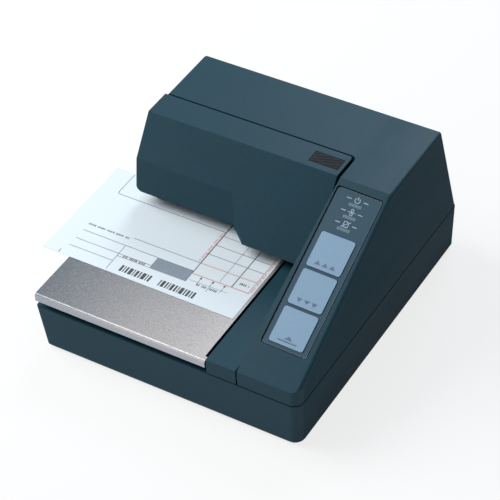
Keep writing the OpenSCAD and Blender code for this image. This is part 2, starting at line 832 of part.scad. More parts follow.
// Toothed belt, as the closed band that it forms round both pulleys.
module carriage_belt() {
    inner = pulley_r + belt_gap;
    color("#202224") difference() {
        belt_loop(inner + belt_t, belt_y - 2.8, belt_y + 2.8);
        belt_loop(inner, belt_y - 4, belt_y + 4);
    }
}

module belt_loop(r, y0, y1) {
    bar_y(y0, y1, drive_x, belt_z, r);
    bar_y(y0, y1, idler_x, belt_z, r);
    block([idler_x, y0, belt_z - r], [drive_x, y1, belt_z + r]);
}

// ---- ribbon ------------------------------------------------------------------------------

module ribbon_cassette() {
    top = cassette_z + cassette_h;
    color("#25282b") difference() {
        union() {
            block([-64, 11, cassette_z], [29, 64, top]);
            block([cassette_left, ribbon_front, cassette_z], [30.5, ribbon_back, cassette_z + 3]);
            block([cassette_left, ribbon_front, 38.3], [-69.3, ribbon_back, cassette_z + eps]);
            block([28, ribbon_front, 38.3], [30.5, ribbon_back, cassette_z + eps]);
            block([-73.8, 30, top - 2], [34, 40, top]);
        }
        bar_z(top - 6, top + 1, knob_spot[0], knob_spot[1], 2 + running);
    }
}

module ribbon_knob() {
    top = cassette_z + cassette_h;
    color("#c9cdd0") {
        difference() {
            bar_z(top + 0.2, top + 4.4, knob_spot[0], knob_spot[1], 5);
            for (a = [0:30:330]) translate([knob_spot[0], knob_spot[1], top])
                rotate(a) translate([5.2, 0, -1]) cylinder(h = 8, r = 0.7, $fn = 16);
        }
        bar_z(top - 5, top + 0.3, knob_spot[0], knob_spot[1], 2);
    }
}

module ribbon_band() {
    color("#15161a") block([cassette_left, ribbon_front, 38.1], [30.5, ribbon_back, 38.3]);
}

// ---- slip feed ---------------------------------------------------------------------------

module platen() {
    color("#2b2d2f") {
        block([-66, print_y - 3, 33.5], [23.4, print_y + 3, table_z - 0.15]);
        block([-62, print_y - 1, 13.2], [20, print_y + 1, 33.5]);
    }
}

module feed_shaft() {
    color("#d5d8da") bar_x(-78, 39, feed_y, feed_z, 2.5);
}

module feed_rollers() {
    color("#26282a") for (x = roller_spots) difference() {
        bar_x(x - 6, x + 6, feed_y, feed_z, feed_r);
        bar_x(x - 7, x + 7, feed_y, feed_z, 2.5);
    }
}

module feed_gear() {
    color("#e2dcc8") difference() {
        translate([34, feed_y, feed_z]) rotate([0, 90, 0]) linear_extrude(4)
            rotate(gear_phase()) gear_outline(gear_teeth);
        bar_x(33, 39, feed_y, feed_z, 2.5);
    }
}

// Directions of the line of centres, in the gears' own flat frame (z down, y across).
function gear_phase() = atan2(pinion_y - feed_y, feed_z - pinion_z);

module feed_pinion() {
    color("#c8b48a") {
        translate([34.2, pinion_y, pinion_z]) rotate([0, 90, 0]) linear_extrude(3.6)
            rotate(gear_phase() + 180 + 180 / pinion_teeth) gear_outline(pinion_teeth);
        bar_x(37.8 - eps, 46, pinion_y, pinion_z, 1.2);
    }
}

module feed_motor() {
    color("#3a3d40") difference() {
        union() {
            bar_x(42, 58, pinion_y, pinion_z, motor_r);
            block([40.5, pinion_y - 14, floor_z], [42, pinion_y + 14, pinion_z + motor_r]);
        }
        bar_x(40, 47, pinion_y, pinion_z, 1.2 + running);
    }
}

// Rocking bar that presses the upper rollers onto the slip.
module pressure_arm() {
    color("#8d9396") difference() {
        union() {
            bar_x(frame_left, frame_right + frame_right_t, press_pivot[0], press_pivot[1], hinge_r);
            for (x = arm_spots) stretch_x(x, x + 1.5) {
                translate([feed_y, press_z]) circle(r = 2.5);
                translate(press_pivot) circle(r = 1.6);
                polygon([[feed_y - 1.2, press_z + 1.6], [feed_y + 1.6, press_z - 1.2],
                    [press_pivot[0] + 0.9, press_pivot[1] - 1.2], [press_pivot[0] - 1.1, press_pivot[1] + 1]]);
            }
        }
        bar_x(-half_w, half_w, feed_y, press_z, 1.3 + running);
    }
}

module pressure_rollers() {
    color("#4a4d50") {
        bar_x(-69, 27, feed_y, press_z, 1.3);
        for (x = roller_spots) bar_x(x - 4.5, x + 4.5, feed_y, press_z, press_r);
    }
}

// Two fingers that rise through the table to square up the slip.
module form_stopper() {
    color("#b9bcc0") {
        block([stop_x - 9.5, stop_y - 1.1, 26.2], [stop_x + 9.5, stop_y + 1.1, 29.2]);
        for (x = [-7, 7]) block([stop_x + x - 2, stop_y - 1.1, 29], [stop_x + x + 2, stop_y + 1.1, 37.3]);
        bar_z(15, 27, stop_x, stop_y, 2);
    }
}

module stopper_solenoid() {
    color("#7a6a3c") difference() {
        block([stop_x - 8, stop_y - 8, 13.2], [stop_x + 8, stop_y + 8, 26]);
        bar_z(12, 27, stop_x, stop_y, 2 + running);
    }
}

module slip_sensors() {
    color("#1b1c1e") for (p = sensor_spots())
        translate([p[0], p[1], table_z - table_t - 3.5]) cube([8, 12, 7], center = true);
}

// ---- electronics ---------------------------------------------------------------------------

module main_board() {
    color("#2f5d3c") difference() {
        block([-73, -80, board_z], [24, 86, board_z + board_t]);
        for (p = board_corners()) bar_z(board_z - 1, board_z + 3, p[0], p[1], 1.7);
    }
}

module board_components() {
    top = board_z + board_t;
    color("#222426") {
        block([-60, -60, top], [-36, -36, top + 3]);
        block([-20, -62, top], [4, -50, top + 2.4]);
        for (i = [0:3]) block([-66 + i * 18, -24, top], [-54 + i * 18, -18, top + 2]);
        for (i = [0:2]) bar_z(top, top + 14, 12, -64 + i * 14, 5);
        block([-70, 50, top], [-30, 58, top + 9]);
        block([-24, 50, top], [-2, 58, top + 9]);
        for (i = [0:4]) bar_z(top, top + 6, -60 + i * 9, 68, 3);
    }
}

module board_screws() {
    top = board_z + board_t;
    color("#b9bcc0") for (p = board_corners()) {
        bar_z(floor_z + 0.4, top + 1, p[0], p[1], 1.25);
        bar_z(top, top + 1.8, p[0], p[1], 2.6);
    }
}

// 25-way socket with its two locking posts.
module interface_connector() {
    color("#aab0b4") {
        block([port_x - 26.5, rear_face_y - 10, board_z + board_t], [port_x + 26.5, rear_face_y, port_z + 6.3]);
        translate([port_x, rear_face_y - 1, port_z]) rotate([-90, 0, 0]) linear_extrude(2.6)
            polygon([[-20, -4.2], [20, -4.2], [18.6, 4.2], [-18.6, 4.2]]);
        for (x = [-23.5, 23.5]) bar_y(rear_face_y - 1, rear_face_y + 1.6, port_x + x, port_z, 2.4, $fn = 6);
    }
}

// Round three-pin power inlet.
module power_inlet() {
    color("#1b1c1e") {
        difference() {
            block([inlet_x - 7, rear_face_y - 12, board_z + board_t], [inlet_x + 7, rear_face_y, port_z + 6]);
            bar_y(rear_face_y - 9, rear_face_y + 1, inlet_x, port_z, 5);
        }
        for (a = [0:120:240]) bar_y(rear_face_y - 10, rear_face_y - 2,
            inlet_x + 2.6 * sin(a), port_z + 2.6 * cos(a), 0.7);
    }
}

// Modular socket for a cash drawer.
module drawer_port() {
    color("#1b1c1e") difference() {
        block([drawer_x - 7, rear_face_y - 15, port_z - 6], [drawer_x + 7, rear_face_y, port_z + 6]);
        block([drawer_x - 4.9, rear_face_y - 12, port_z - 3.4], [drawer_x + 4.9, rear_face_y + 1, port_z + 3.4]);
        block([drawer_x - 2, rear_face_y - 12, port_z + 3], [drawer_x + 2, rear_face_y + 1, port_z + 5]);
    }
}

module switch_bezel() {
    color("#1b1c1e") difference() {
        block([switch_x - 6.5, rear_face_y - 13, port_z - 9], [switch_x + 6.5, rear_face_y + 0.4, port_z + 9]);
        block([switch_x - 4.6, rear_face_y - 9, port_z - 7.1], [switch_x + 4.6, rear_face_y + 1, port_z + 7.1]);
        bar_x(switch_x - 6, switch_x + 6, rear_face_y - 3.5, port_z, 1 + running);
    }
}

// Rocker with two shallow faces, resting tilted to one side; its other end goes in when pressed.
module power_rocker() {
    reach = 5.6;
    color("#101113") translate([switch_x, rear_face_y - 3.5, port_z]) rotate([rocker_tilt, 0, 0]) {
        stretch_x(-4.4, 4.4) polygon([[-1.5, -3], [-1.5, 3], [1.2, reach], [3.3, reach], [2.6, 0],
            [3.3, -reach], [1.2, -reach]]);
        bar_x(-5.8, 5.8, 0, 0, 1);
    }
}

module ground_screw() {
    color("#c9ccce") {
        bar_y(rear_face_y - 6, rear_face_y + 1.4, -70, port_z, 1.25);
        difference() {
            bar_y(rear_face_y + 1.25, rear_face_y + 1.9, -70, port_z, 3);
            translate([-70, rear_face_y + 1.9, port_z]) cube([4, 0.8, 0.8], center = true);
        }
    }
}

// ---- assembly ------------------------------------------------------------------------------

// Moves a piece from the case's own middle to its place in the part's frame.
module placed() {
    translate([origin_x, 0, base_drop]) children();
}

placed() lower_case();
placed() upper_case();
placed() ribbon_cover();
placed() grip_pad();
placed() slip_table();
placed() side_guide();
placed() slip();
placed() panel_overlay();
placed() forward_key();
placed() reverse_key();
placed() release_key();
placed() forward_dome();
placed() reverse_dome();
placed() release_dome();
placed() indicator_lenses();
placed() keypad_board();
placed() side_frame_left();
placed() side_frame_right();
placed() rear_frame_plate();
placed() upper_guide_plate();
placed() base_frame();
placed() hinge_brackets();
placed() hinge_pins();
placed() front_guide_shaft();
placed() rear_guide_shaft();
placed() head_carriage();
placed() print_head();
placed() carriage_motor();
placed() motor_bracket();
placed() drive_pulley();
placed() idler_pulley();
placed() idler_bracket();
placed() carriage_belt();
placed() ribbon_cassette();
placed() ribbon_knob();
placed() ribbon_band();
placed() platen();
placed() feed_shaft();
placed() feed_rollers();
placed() feed_gear();
placed() feed_motor();
placed() feed_pinion();
placed() pressure_arm();
placed() pressure_rollers();
placed() form_stopper();
placed() stopper_solenoid();
placed() slip_sensors();
placed() main_board();
placed() board_components();
placed() interface_connector();
placed() power_inlet();
placed() drawer_port();
placed() switch_bezel();
placed() power_rocker();
placed() ground_screw();
placed() case_screws();
placed() board_screws();
placed() rubber_feet();
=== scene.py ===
"""Looks of a flat-bed slip printer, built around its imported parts.

Metres, +Z up, +Y to the back."""

import json
import math

import bmesh
import bpy
from mathutils import Matrix, Vector

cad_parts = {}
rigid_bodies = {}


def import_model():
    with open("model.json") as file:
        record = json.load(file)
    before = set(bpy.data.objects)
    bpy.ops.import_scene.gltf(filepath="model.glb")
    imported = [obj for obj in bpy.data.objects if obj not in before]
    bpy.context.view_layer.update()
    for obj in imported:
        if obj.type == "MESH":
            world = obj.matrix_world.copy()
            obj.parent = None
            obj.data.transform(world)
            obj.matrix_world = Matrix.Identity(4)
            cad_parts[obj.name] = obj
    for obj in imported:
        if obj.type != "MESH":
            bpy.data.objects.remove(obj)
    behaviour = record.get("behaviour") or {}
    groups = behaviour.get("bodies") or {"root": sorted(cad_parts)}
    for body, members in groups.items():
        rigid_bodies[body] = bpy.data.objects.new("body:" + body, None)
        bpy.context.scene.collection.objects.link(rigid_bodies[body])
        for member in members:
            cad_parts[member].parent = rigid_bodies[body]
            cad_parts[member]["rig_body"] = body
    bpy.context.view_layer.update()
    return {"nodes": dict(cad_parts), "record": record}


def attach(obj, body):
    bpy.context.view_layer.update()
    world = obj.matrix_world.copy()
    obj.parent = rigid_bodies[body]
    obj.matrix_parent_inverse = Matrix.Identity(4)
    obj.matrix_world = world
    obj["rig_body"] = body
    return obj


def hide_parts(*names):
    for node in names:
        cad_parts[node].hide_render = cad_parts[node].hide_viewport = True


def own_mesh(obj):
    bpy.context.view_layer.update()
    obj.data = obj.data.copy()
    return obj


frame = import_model()

# Sizes below are millimetres about the middle of the case, which stands CASE_SHIFT to the right.
# Heights are measured from a level BASE_DROP above the counter.
MM = 0.001
CASE_SHIFT = 9.7
BASE_DROP = 4.2

# Case and its joint
HALF_WIDTH = 90.0
HALF_DEPTH = 98.25
FRONT_CORNER = 6.6
BACK_CORNER = 1.6
SEAM = 28.8
SEAM_LIP = 0.7
GUIDE_LEFT = 29.5

# Control slope: its front edge, its rise, and places along it
SLOPE_FRONT = 39.8
SLOPE = math.atan2(61.2, 112.75)
PANEL_X = 71.0
PANEL_MIDDLE = 72.2
PANEL_TURN = math.radians(1.1)
PANEL_DEPTH = 0.3
KEY_TOP = 0.2
KEY_SPOTS = {"release": 35.0, "reverse": 59.25, "forward": 83.5}
LAMP_SIGNS = (102.9, 110.7, 118.5)

# Slip and its printing
SLIP_TOP = 37.8
SLIP_THICK = 0.15
CURL_FROM = -56.0
CURL_RUN = 5.1
CURL_RISE = 0.06
INK = 0.02

# Grip pad on the cover
COVER_TOP = 101.0
PAD_LEAN = math.radians(32)
PAD_PITCH = 1.45

# Sockets in the back face
REAR_FACE = 96.35
PORT_HEIGHT = 16.0
INTERFACE_X = 32.0
INTERFACE_FACE = 1.6
PIN_PITCH = 2.76
DRAWER_X = -46.0
DRAWER_WIRE_PITCH = 1.1

# Rounding of the mouldings: an edge that turns by CREASE degrees or more is rounded in EDGE_STEPS
CREASE = 22
EDGE_STEPS = 5


# ---- places and outlines -----------------------------------------------------------------


def spot(x, y, z):
    """A point of the part from millimetres about the middle of the case."""
    return Vector(((x + CASE_SHIFT) * MM, y * MM, (z + BASE_DROP) * MM))


def on_slope(x, s, n):
    """A point over the control panel: x across, s up the slope and n out of it."""
    u, v = x - PANEL_X, s - PANEL_MIDDLE
    x = PANEL_X + u * math.cos(PANEL_TURN) + v * math.sin(PANEL_TURN)
    s = PANEL_MIDDLE + v * math.cos(PANEL_TURN) - u * math.sin(PANEL_TURN)
    return spot(
        x,
        -HALF_DEPTH + s * math.cos(SLOPE) - n * math.sin(SLOPE),
        SLOPE_FRONT + s * math.sin(SLOPE) + n * math.cos(SLOPE),
    )


def slip_lift(y):
    """How far the slip's front edge has curled up; it still passes under the pressure rollers."""
    return CURL_RISE * min(1.0, max(0.0, (CURL_FROM - y) / CURL_RUN)) ** 2


def on_slip(x, y, n):
    """A point over the top face of the slip."""
    return spot(x, y, SLIP_TOP + slip_lift(y) + n)


def on_back(u, z, n):
    """A point over the back face: u runs to the left as the back is looked at from in front."""
    return spot(-u, REAR_FACE + n, z)


def bar(x0, y0, x1, y1):
    """Outline of a rectangle."""
    return [(x0, y0), (x1, y0), (x1, y1), (x0, y1)]


def stroke(start, end, width):
    """A thin bar from one point to another."""
    run = Vector(end) - Vector(start)
    side = Vector((-run.y, run.x)).normalized() * width / 2
    a, b = Vector(start), Vector(end)
    return [tuple(a - side), tuple(b - side), tuple(b + side), tuple(a + side)]


def disc(x, y, r, sides=12):
    """Outline of a small disc."""
    turns = [2 * math.pi * i / sides for i in range(sides)]
    return [(x + r * math.cos(t), y + r * math.sin(t)) for t in turns]


def arc_strokes(x, y, r, first, last, width, steps=10):
    """An arc in short strokes, between two angles in degrees."""
    points = []
    for i in range(steps + 1):
        t = math.radians(first + (last - first) * i / steps)
        points.append((x + r * math.cos(t), y + r * math.sin(t)))
    return [stroke(a, b, width) for a, b in zip(points, points[1:])]


def rounded(x0, y0, x1, y1, r, steps=5):
    """Outline of a rectangle with round corners."""
    points = []
    for cx, cy, start in (
        (x1 - r, y0 + r, -90),
        (x1 - r, y1 - r, 0),
        (x0 + r, y1 - r, 90),
        (x0 + r, y0 + r, 180),
    ):
        for i in range(steps + 1):
            t = math.radians(start + 90 * i / steps)
            points.append((cx + r * math.cos(t), cy + r * math.sin(t)))
    return points


def clipped(outline, x0, y0, x1, y1):
    """The part of a convex outline that lies inside a rectangle."""
    for axis, limit, sign in ((0, x0, 1), (0, x1, -1), (1, y0, 1), (1, y1, -1)):
        kept = []
        for a, b in zip(outline, outline[1:] + outline[:1]):
            da, db = sign * (a[axis] - limit), sign * (b[axis] - limit)
            if da >= 0:
                kept.append(a)
            if (da < 0) != (db < 0):
                t = da / (da - db)
                kept.append((a[0] + t * (b[0] - a[0]), a[1] + t * (b[1] - a[1])))
        outline = kept
    return outline


# ---- mesh pieces -------------------------------------------------------------------------


def add_plate(bm, outline, low, high, place):
    """Adds a closed plate of one outline between two heights over a surface."""
    area = sum(a[0] * b[1] - b[0] * a[1] for a, b in zip(outline, outline[1:] + outline[:1]))
    if area < 0:
        outline = outline[::-1]
    under = [bm.verts.new(place(u, v, low)) for u, v in outline]
    over = [bm.verts.new(place(u, v, high)) for u, v in outline]
    bm.faces.new(over)
    bm.faces.new(under[::-1])
    for i in range(len(outline)):
        j = (i + 1) % len(outline)
        bm.faces.new((under[i], under[j], over[j], over[i]))


def finished(name, bm, body, material):
    """Turns a mesh in the making into a piece that rides on a body."""
    mesh = bpy.data.meshes.new(name)
    bm.to_mesh(mesh)
    bm.free()
    mesh.materials.append(material)
    piece = bpy.data.objects.new(name, mesh)
    bpy.context.scene.collection.objects.link(piece)
    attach(piece, body)
    return piece


def marks(name, outlines, place, body, slot, material, low=0.0, high=INK):
    """Flat marks, such as ink on paper, that stand a hair over their surface."""
    bm = bmesh.new()
    for outline in outlines:
        add_plate(bm, outline, low, high, place)
    return finished(name, bm, body, material)


def smooth_over(piece):
    """Smooth shading that keeps large flat faces flat and creases crisp."""
    mesh = piece.data
    mesh.polygons.foreach_set("use_smooth", [True] * len(mesh.polygons))
    mesh.set_sharp_from_angle(angle=math.radians(CREASE))
    weighted = piece.modifiers.new("flat faces", "WEIGHTED_NORMAL")
    weighted.keep_sharp = True
    weighted.weight = 100


def outer_edges(bm, chosen):
    """The convex edges of a moulding that are to be rounded."""
    edges = []
    for edge in bm.edges:
        if len(edge.link_faces) != 2 or not edge.is_convex:
            continue
        if edge.calc_face_angle(0) < math.radians(CREASE):
            continue
        middle = (edge.verts[0].co + edge.verts[1].co) / 2
        if chosen is None or chosen(middle):
            edges.append(edge)
    return edges


def softened(node, radius, material, chosen=None):
    """A copy of a moulded part whose convex edges are rounded; it stands for the part."""
    source = frame["nodes"][node]
    bm = bmesh.new()
    bm.from_mesh(source.data)
    bmesh.ops.remove_doubles(bm, verts=bm.verts, dist=2e-6)
    bmesh.ops.dissolve_limit(
        bm, angle_limit=math.radians(0.6), verts=bm.verts, edges=bm.edges
    )
    bmesh.ops.bevel(
        bm,
        geom=outer_edges(bm, chosen),
        offset=radius * MM,
        offset_type="OFFSET",
        segments=EDGE_STEPS,
        profile=0.5,
        affect="EDGES",
        clamp_overlap=True,
    )
    piece = finished(node + "_shell", bm, source["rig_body"], material)
    smooth_over(piece)
    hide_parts(node)
    return piece


# ---- shared surface effects --------------------------------------------------------------


class Tree:
    """Adds and joins nodes in one node tree."""

    def __init__(self, tree):
        self.tree = tree

    def add(self, kind, **settings):
        node = self.tree.nodes.new(kind)
        for key, value in settings.items():
            setattr(node, key, value)
        return node

    def join(self, source, target):
        self.tree.links.new(source, target)
        return target

    def math(self, operation, first, second):
        """Works out one sum of two values, each a socket or a number."""
        node = self.add("ShaderNodeMath", operation=operation)
        for socket, given in zip(node.inputs, (first, second)):
            if isinstance(given, (int, float)):
                socket.default_value = given
            else:
                self.join(given, socket)
        return node.outputs[0]

    def ramp(self, source, low, high, to_low=0.0, to_high=1.0):
        """Maps one range of a value onto another, held inside it."""
        node = self.add("ShaderNodeMapRange")
        self.join(source, node.inputs["Value"])
        for name, given in (
            ("From Min", low),
            ("From Max", high),
            ("To Min", to_low),
            ("To Max", to_high),
        ):
            if isinstance(given, (int, float)):
                node.inputs[name].default_value = given
            else:
                self.join(given, node.inputs[name])
        return node.outputs["Result"]

    def noise(self, place, scale, detail=2.0, roughness=0.5):
        """Cloudy noise at a scale that is a socket or a number."""
        node = self.add("ShaderNodeTexNoise")
        self.join(place, node.inputs["Vector"])
        node.inputs["Detail"].default_value = detail
        node.inputs["Roughness"].default_value = roughness
        if isinstance(scale, (int, float)):
            node.inputs["Scale"].default_value = scale
        else:
            self.join(scale, node.inputs["Scale"])
        return node.outputs["Fac"]

    def mix(self, factor, first, second, blend="MIX"):
        """Mixes two colours, each a socket or an RGB triple."""
        node = self.add("ShaderNodeMix", data_type="RGBA", blend_type=blend)
        for index, given in ((0, factor), (6, first), (7, second)):
            socket = node.inputs[index]
            if isinstance(given, (int, float)):
                socket.default_value = given
            elif isinstance(given, tuple):
                socket.default_value = (*given, 1.0)
            else:
                self.join(given, socket)
        return node.outputs[2]


def effect(name, inputs, outputs):
    """An empty node group with named float inputs and outputs."""
    group = bpy.data.node_groups.new(name, "ShaderNodeTree")
    for label, default in inputs:
        socket = group.interface.new_socket(label, in_out="INPUT", socket_type="NodeSocketFloat")
        socket.default_value = default
    for label in outputs:
        group.interface.new_socket(label, in_out="OUTPUT", socket_type="NodeSocketFloat")
    tree = Tree(group)
    return group, tree, tree.add("NodeGroupInput").outputs, tree.add("NodeGroupOutput").inputs


def grain_effect():
    """Spark-eroded grain of moulded plastic: a height, and broad cloudy patches."""
    group, t, given, out = effect(
        "moulding_grain", [("Grain Scale", 2600.0), ("Patch Scale", 14.0)], ["Height", "Patches"]
    )
    place = t.add("ShaderNodeTexCoord").outputs["Object"]
    fine = t.noise(place, given["Grain Scale"], 3.0, 0.6)
    coarse = t.noise(place, t.math("MULTIPLY", given["Grain Scale"], 0.31), 1.0)
    both = t.math("ADD", t.math("MULTIPLY", fine, 0.7), t.math("MULTIPLY", coarse, 0.3))
    t.join(both, out["Height"])
    patches = t.noise(place, given["Patch Scale"], 4.0, 0.55)
    t.join(t.ramp(patches, 0.3, 0.7), out["Patches"])
    return group


def handling_effect():
    """Faint smears and settled dust: a mask that lifts roughness."""
    group, t, given, out = effect("handling", [("Smear Scale", 30.0)], ["Smears", "Dust"])
    place = t.add("ShaderNodeTexCoord").outputs["Object"]
    stretch = t.add("ShaderNodeMapping")
    stretch.inputs["Scale"].default_value = (1.0, 0.35, 1.6)
    stretch.inputs["Rotation"].default_value = (0.2, 0.4, 0.7)
    t.join(place, stretch.inputs["Vector"])
    smears = t.noise(stretch.outputs[0], given["Smear Scale"], 5.0, 0.6)
    t.join(t.ramp(smears, 0.42, 0.72), out["Smears"])
    facing = t.add("ShaderNodeSeparateXYZ")
    t.join(t.add("ShaderNodeNewGeometry").outputs["Normal"], facing.inputs[0])
    upward = t.ramp(facing.outputs["Z"], 0.3, 1.0)
    settled = t.noise(place, 420.0, 6.0, 0.7)
    t.join(t.math("MULTIPLY", upward, t.ramp(settled, 0.5, 0.8)), out["Dust"])
    return group


def streak_effect():
    """Fine parallel rolling or grinding lines along X, and slower stains."""
    group, t, given, out = effect("rolled_streaks", [("Line Scale", 1800.0)], ["Lines", "Stains"])
    place = t.add("ShaderNodeTexCoord").outputs["Object"]
    stretch = t.add("ShaderNodeMapping")
    stretch.inputs["Scale"].default_value = (0.02, 1.0, 1.0)
    t.join(place, stretch.inputs["Vector"])
    t.join(t.noise(stretch.outputs[0], given["Line Scale"], 3.0, 0.65), out["Lines"])
    t.join(t.ramp(t.noise(place, 38.0, 5.0, 0.6), 0.35, 0.7), out["Stains"])
    return group


def placed_effect(t, group, **values):
    """Puts a shared effect in a material with its own values."""
    node = t.add("ShaderNodeGroup", node_tree=group)
    for label, value in values.items():
        node.inputs[label.replace("_", " ")].default_value = value
    return node.outputs


# ---- materials ---------------------------------------------------------------------------


def srgb(red, green, blue):
    """Linear colour from 0-255 display values."""
    def lin(v):
        v /= 255
        return v / 12.92 if v <= 0.04045 else ((v + 0.055) / 1.055) ** 2.4
    return lin(red), lin(green), lin(blue)


def shade(colour, share):
    """The same colour, darker or lighter by a share."""
    return tuple(min(1.0, c * share) for c in colour)


def new_material(name):
    """A material with nodes, the helper for its tree, and its shader."""
    material = bpy.data.materials.new(name)
    material.use_nodes = True
    t = Tree(material.node_tree)
    return material, t, material.node_tree.nodes["Principled BSDF"]


def bump(t, shader, height, strength, distance):
    """Gives a surface relief: a height over a distance in millimetres."""
    node = t.add("ShaderNodeBump")
    node.inputs["Strength"].default_value = strength
    node.inputs["Distance"].default_value = distance * MM
    t.join(height, node.inputs["Height"])
    t.join(node.outputs[0], shader.inputs["Normal"])


def grained_sheen(t, specular):
    """Gloss of a coarse grain: it goes as the view gets lower, and comes back where it grazes."""
    facing = t.add("ShaderNodeLayerWeight").outputs["Facing"]
    lowered = t.ramp(facing, 0.38, 0.62, specular, 0.01)
    grazing = t.ramp(facing, 0.76, 0.84, 0.0, 0.7)
    return t.math("ADD", lowered, grazing)


def moulded(
    name,
    colour,
    rough=0.5,
    specular=0.3,
    grain=2600.0,
    depth=0.03,
    patch=0.06,
    dust=0.04,
    coarse=False,
):
    """Grained plastic or rubber with cloudy patches, smears and a little settled dust."""
    material, t, shader = new_material(name)
    surface = placed_effect(t, GRAIN, Grain_Scale=grain)
    handled = placed_effect(t, HANDLING)
    base = t.mix(surface["Patches"], shade(colour, 1 - patch), shade(colour, 1 + patch))
    speck = t.ramp(surface["Height"], 0.35, 0.65, 0.0, 0.5)
    base = t.mix(speck, base, shade(colour, 0.7))
    dusty = tuple(c * 0.75 + 0.08 for c in colour)
    base = t.mix(t.math("MULTIPLY", handled["Dust"], dust), base, dusty)
    t.join(base, shader.inputs["Base Color"])
    worn = t.ramp(handled["Smears"], 0.0, 1.0, rough - 0.03, rough + 0.06)
    t.join(worn, shader.inputs["Roughness"])
    shader.inputs["Specular IOR Level"].default_value = specular
    if coarse:
        t.join(grained_sheen(t, specular), shader.inputs["Specular IOR Level"])
    bump(t, shader, surface["Height"], 0.35, depth)
    return material


def rolled_metal(name, colour, rough, lines=1800.0, stain=0.12):
    """Plated, ground or rolled metal with fine lines and slow stains."""
    material, t, shader = new_material(name)
    streaks = placed_effect(t, STREAKS, Line_Scale=lines)
    base = t.mix(streaks["Stains"], colour, shade(colour, 1 - stain))
    lined = t.mix(t.math("MULTIPLY", streaks["Lines"], 0.25), base, shade(colour, 0.7))
    t.join(lined, shader.inputs["Base Color"])
    ground = t.ramp(streaks["Lines"], 0.3, 0.7, rough - 0.06, rough + 0.08)
    t.join(ground, shader.inputs["Roughness"])
    shader.inputs["Metallic"].default_value = 1.0
    bump(t, shader, streaks["Lines"], 0.15, 0.01)
    return material


def table_coat():
    """Vinyl-coated sheet of the slip table: fine cross-grained speckle on warm grey, with painted
    light that darkens it to the left and lightens it to the right, and a painted sheen on its
    upright lip.
    """
    material, t, shader = new_material("table_coat")
    place = t.add("ShaderNodeTexCoord").outputs["Object"]
    stretch = t.add("ShaderNodeMapping")
    stretch.inputs["Scale"].default_value = (0.45, 1.0, 1.0)
    t.join(place, stretch.inputs["Vector"])
    speckle = t.noise(stretch.outputs[0], 3200.0, 2.0, 0.7)
    cloudy = t.ramp(t.noise(place, 9.0, 2.0), 0.3, 0.7)
    across = t.add("ShaderNodeSeparateXYZ")
    t.join(place, across.inputs[0])
    # Painted light: a shaded grey at the left end turns to a lit warm grey at the right end.
    base = t.mix(t.ramp(across.outputs["X"], -0.08, 0.04), TABLE_GREY_SHADED, TABLE_WARM_LIT)
    grains = t.noise(stretch.outputs[0], 2100.0, 1.0, 0.5)
    dark = t.math("ADD", t.ramp(speckle, 0.5, 0.7, 0.0, 0.25), t.ramp(grains, 0.52, 0.7, 0.0, 0.3))
    base = t.mix(t.math("MULTIPLY", cloudy, 0.25), base, shade(TABLE_GREY_SHADED, 0.93))
    base = t.mix(dark, base, shade(TABLE_GREY_SHADED, 0.5))
    base = t.mix(t.ramp(grains, 0.3, 0.45, 0.25, 0.0), base, shade(TABLE_WARM_LIT, 1.3))
    upright = t.add("ShaderNodeSeparateXYZ")
    t.join(t.add("ShaderNodeNewGeometry").outputs["Normal"], upright.inputs[0])
    # Painted sheen: upright faces, such as the front lip, turn a pale bluish grey.
    base = t.mix(t.ramp(upright.outputs["Z"], 0.1, 0.8, 0.75, 0.0), base, TABLE_LIP_SHEEN)
    t.join(base, shader.inputs["Base Color"])
    t.join(t.ramp(speckle, 0.3, 0.7, 0.26, 0.42), shader.inputs["Roughness"])
    shader.inputs["Metallic"].default_value = 0.55
    bump(t, shader, speckle, 0.25, 0.02)
    return material


def slip_paper():
    """Uncoated form paper: faint fibres and a very slight cockle."""
    material, t, shader = new_material("slip_paper")
    place = t.add("ShaderNodeTexCoord").outputs["Object"]
    fibres = t.noise(place, 3500.0, 4.0, 0.7)
    cockle = t.noise(place, 26.0, 1.0)
    base = t.mix(t.ramp(fibres, 0.4, 0.7, 0.0, 0.3), PAPER_WHITE, shade(PAPER_WHITE, 0.94))
    t.join(base, shader.inputs["Base Color"])
    t.join(t.ramp(fibres, 0.3, 0.7, 0.75, 0.9), shader.inputs["Roughness"])
    shader.inputs["Specular IOR Level"].default_value = 0.2
    both = t.math("ADD", t.math("MULTIPLY", fibres, 0.15), cockle)
    bump(t, shader, both, 0.2, 0.08)
    return material


def circuit_board():
    """Solder mask over a mesh of copper tracks."""
    material, t, shader = new_material("circuit_board")
    place = t.add("ShaderNodeTexCoord").outputs["Object"]
    cells = t.add("ShaderNodeTexVoronoi", feature="DISTANCE_TO_EDGE", distance="CHEBYCHEV")
    cells.inputs["Scale"].default_value = 240.0
    t.join(place, cells.inputs["Vector"])
    track = t.ramp(cells.outputs["Distance"], 0.06, 0.1, 1.0, 0.0)
    base = t.mix(track, srgb(34, 92, 52), srgb(62, 128, 70))
    t.join(base, shader.inputs["Base Color"])
    t.join(t.ramp(track, 0.0, 1.0, 0.3, 0.4), shader.inputs["Roughness"])
    bump(t, shader, track, 0.2, 0.03)
    return material


def inked_cloth():
    """Woven ribbon soaked with black ink."""
    material, t, shader = new_material("inked_cloth")
    place = t.add("ShaderNodeTexCoord").outputs["Object"]
    weave = t.add("ShaderNodeTexChecker")
    weave.inputs["Scale"].default_value = 5000.0
    t.join(place, weave.inputs["Vector"])
    threads = t.mix(weave.outputs["Fac"], srgb(26, 26, 32), srgb(40, 40, 50))
    t.join(threads, shader.inputs["Base Color"])
    worn = t.noise(place, 90.0, 4.0)
    t.join(t.ramp(worn, 0.3, 0.7, 0.6, 0.8), shader.inputs["Roughness"])
    bump(t, shader, weave.outputs["Fac"], 0.3, 0.02)
    return material


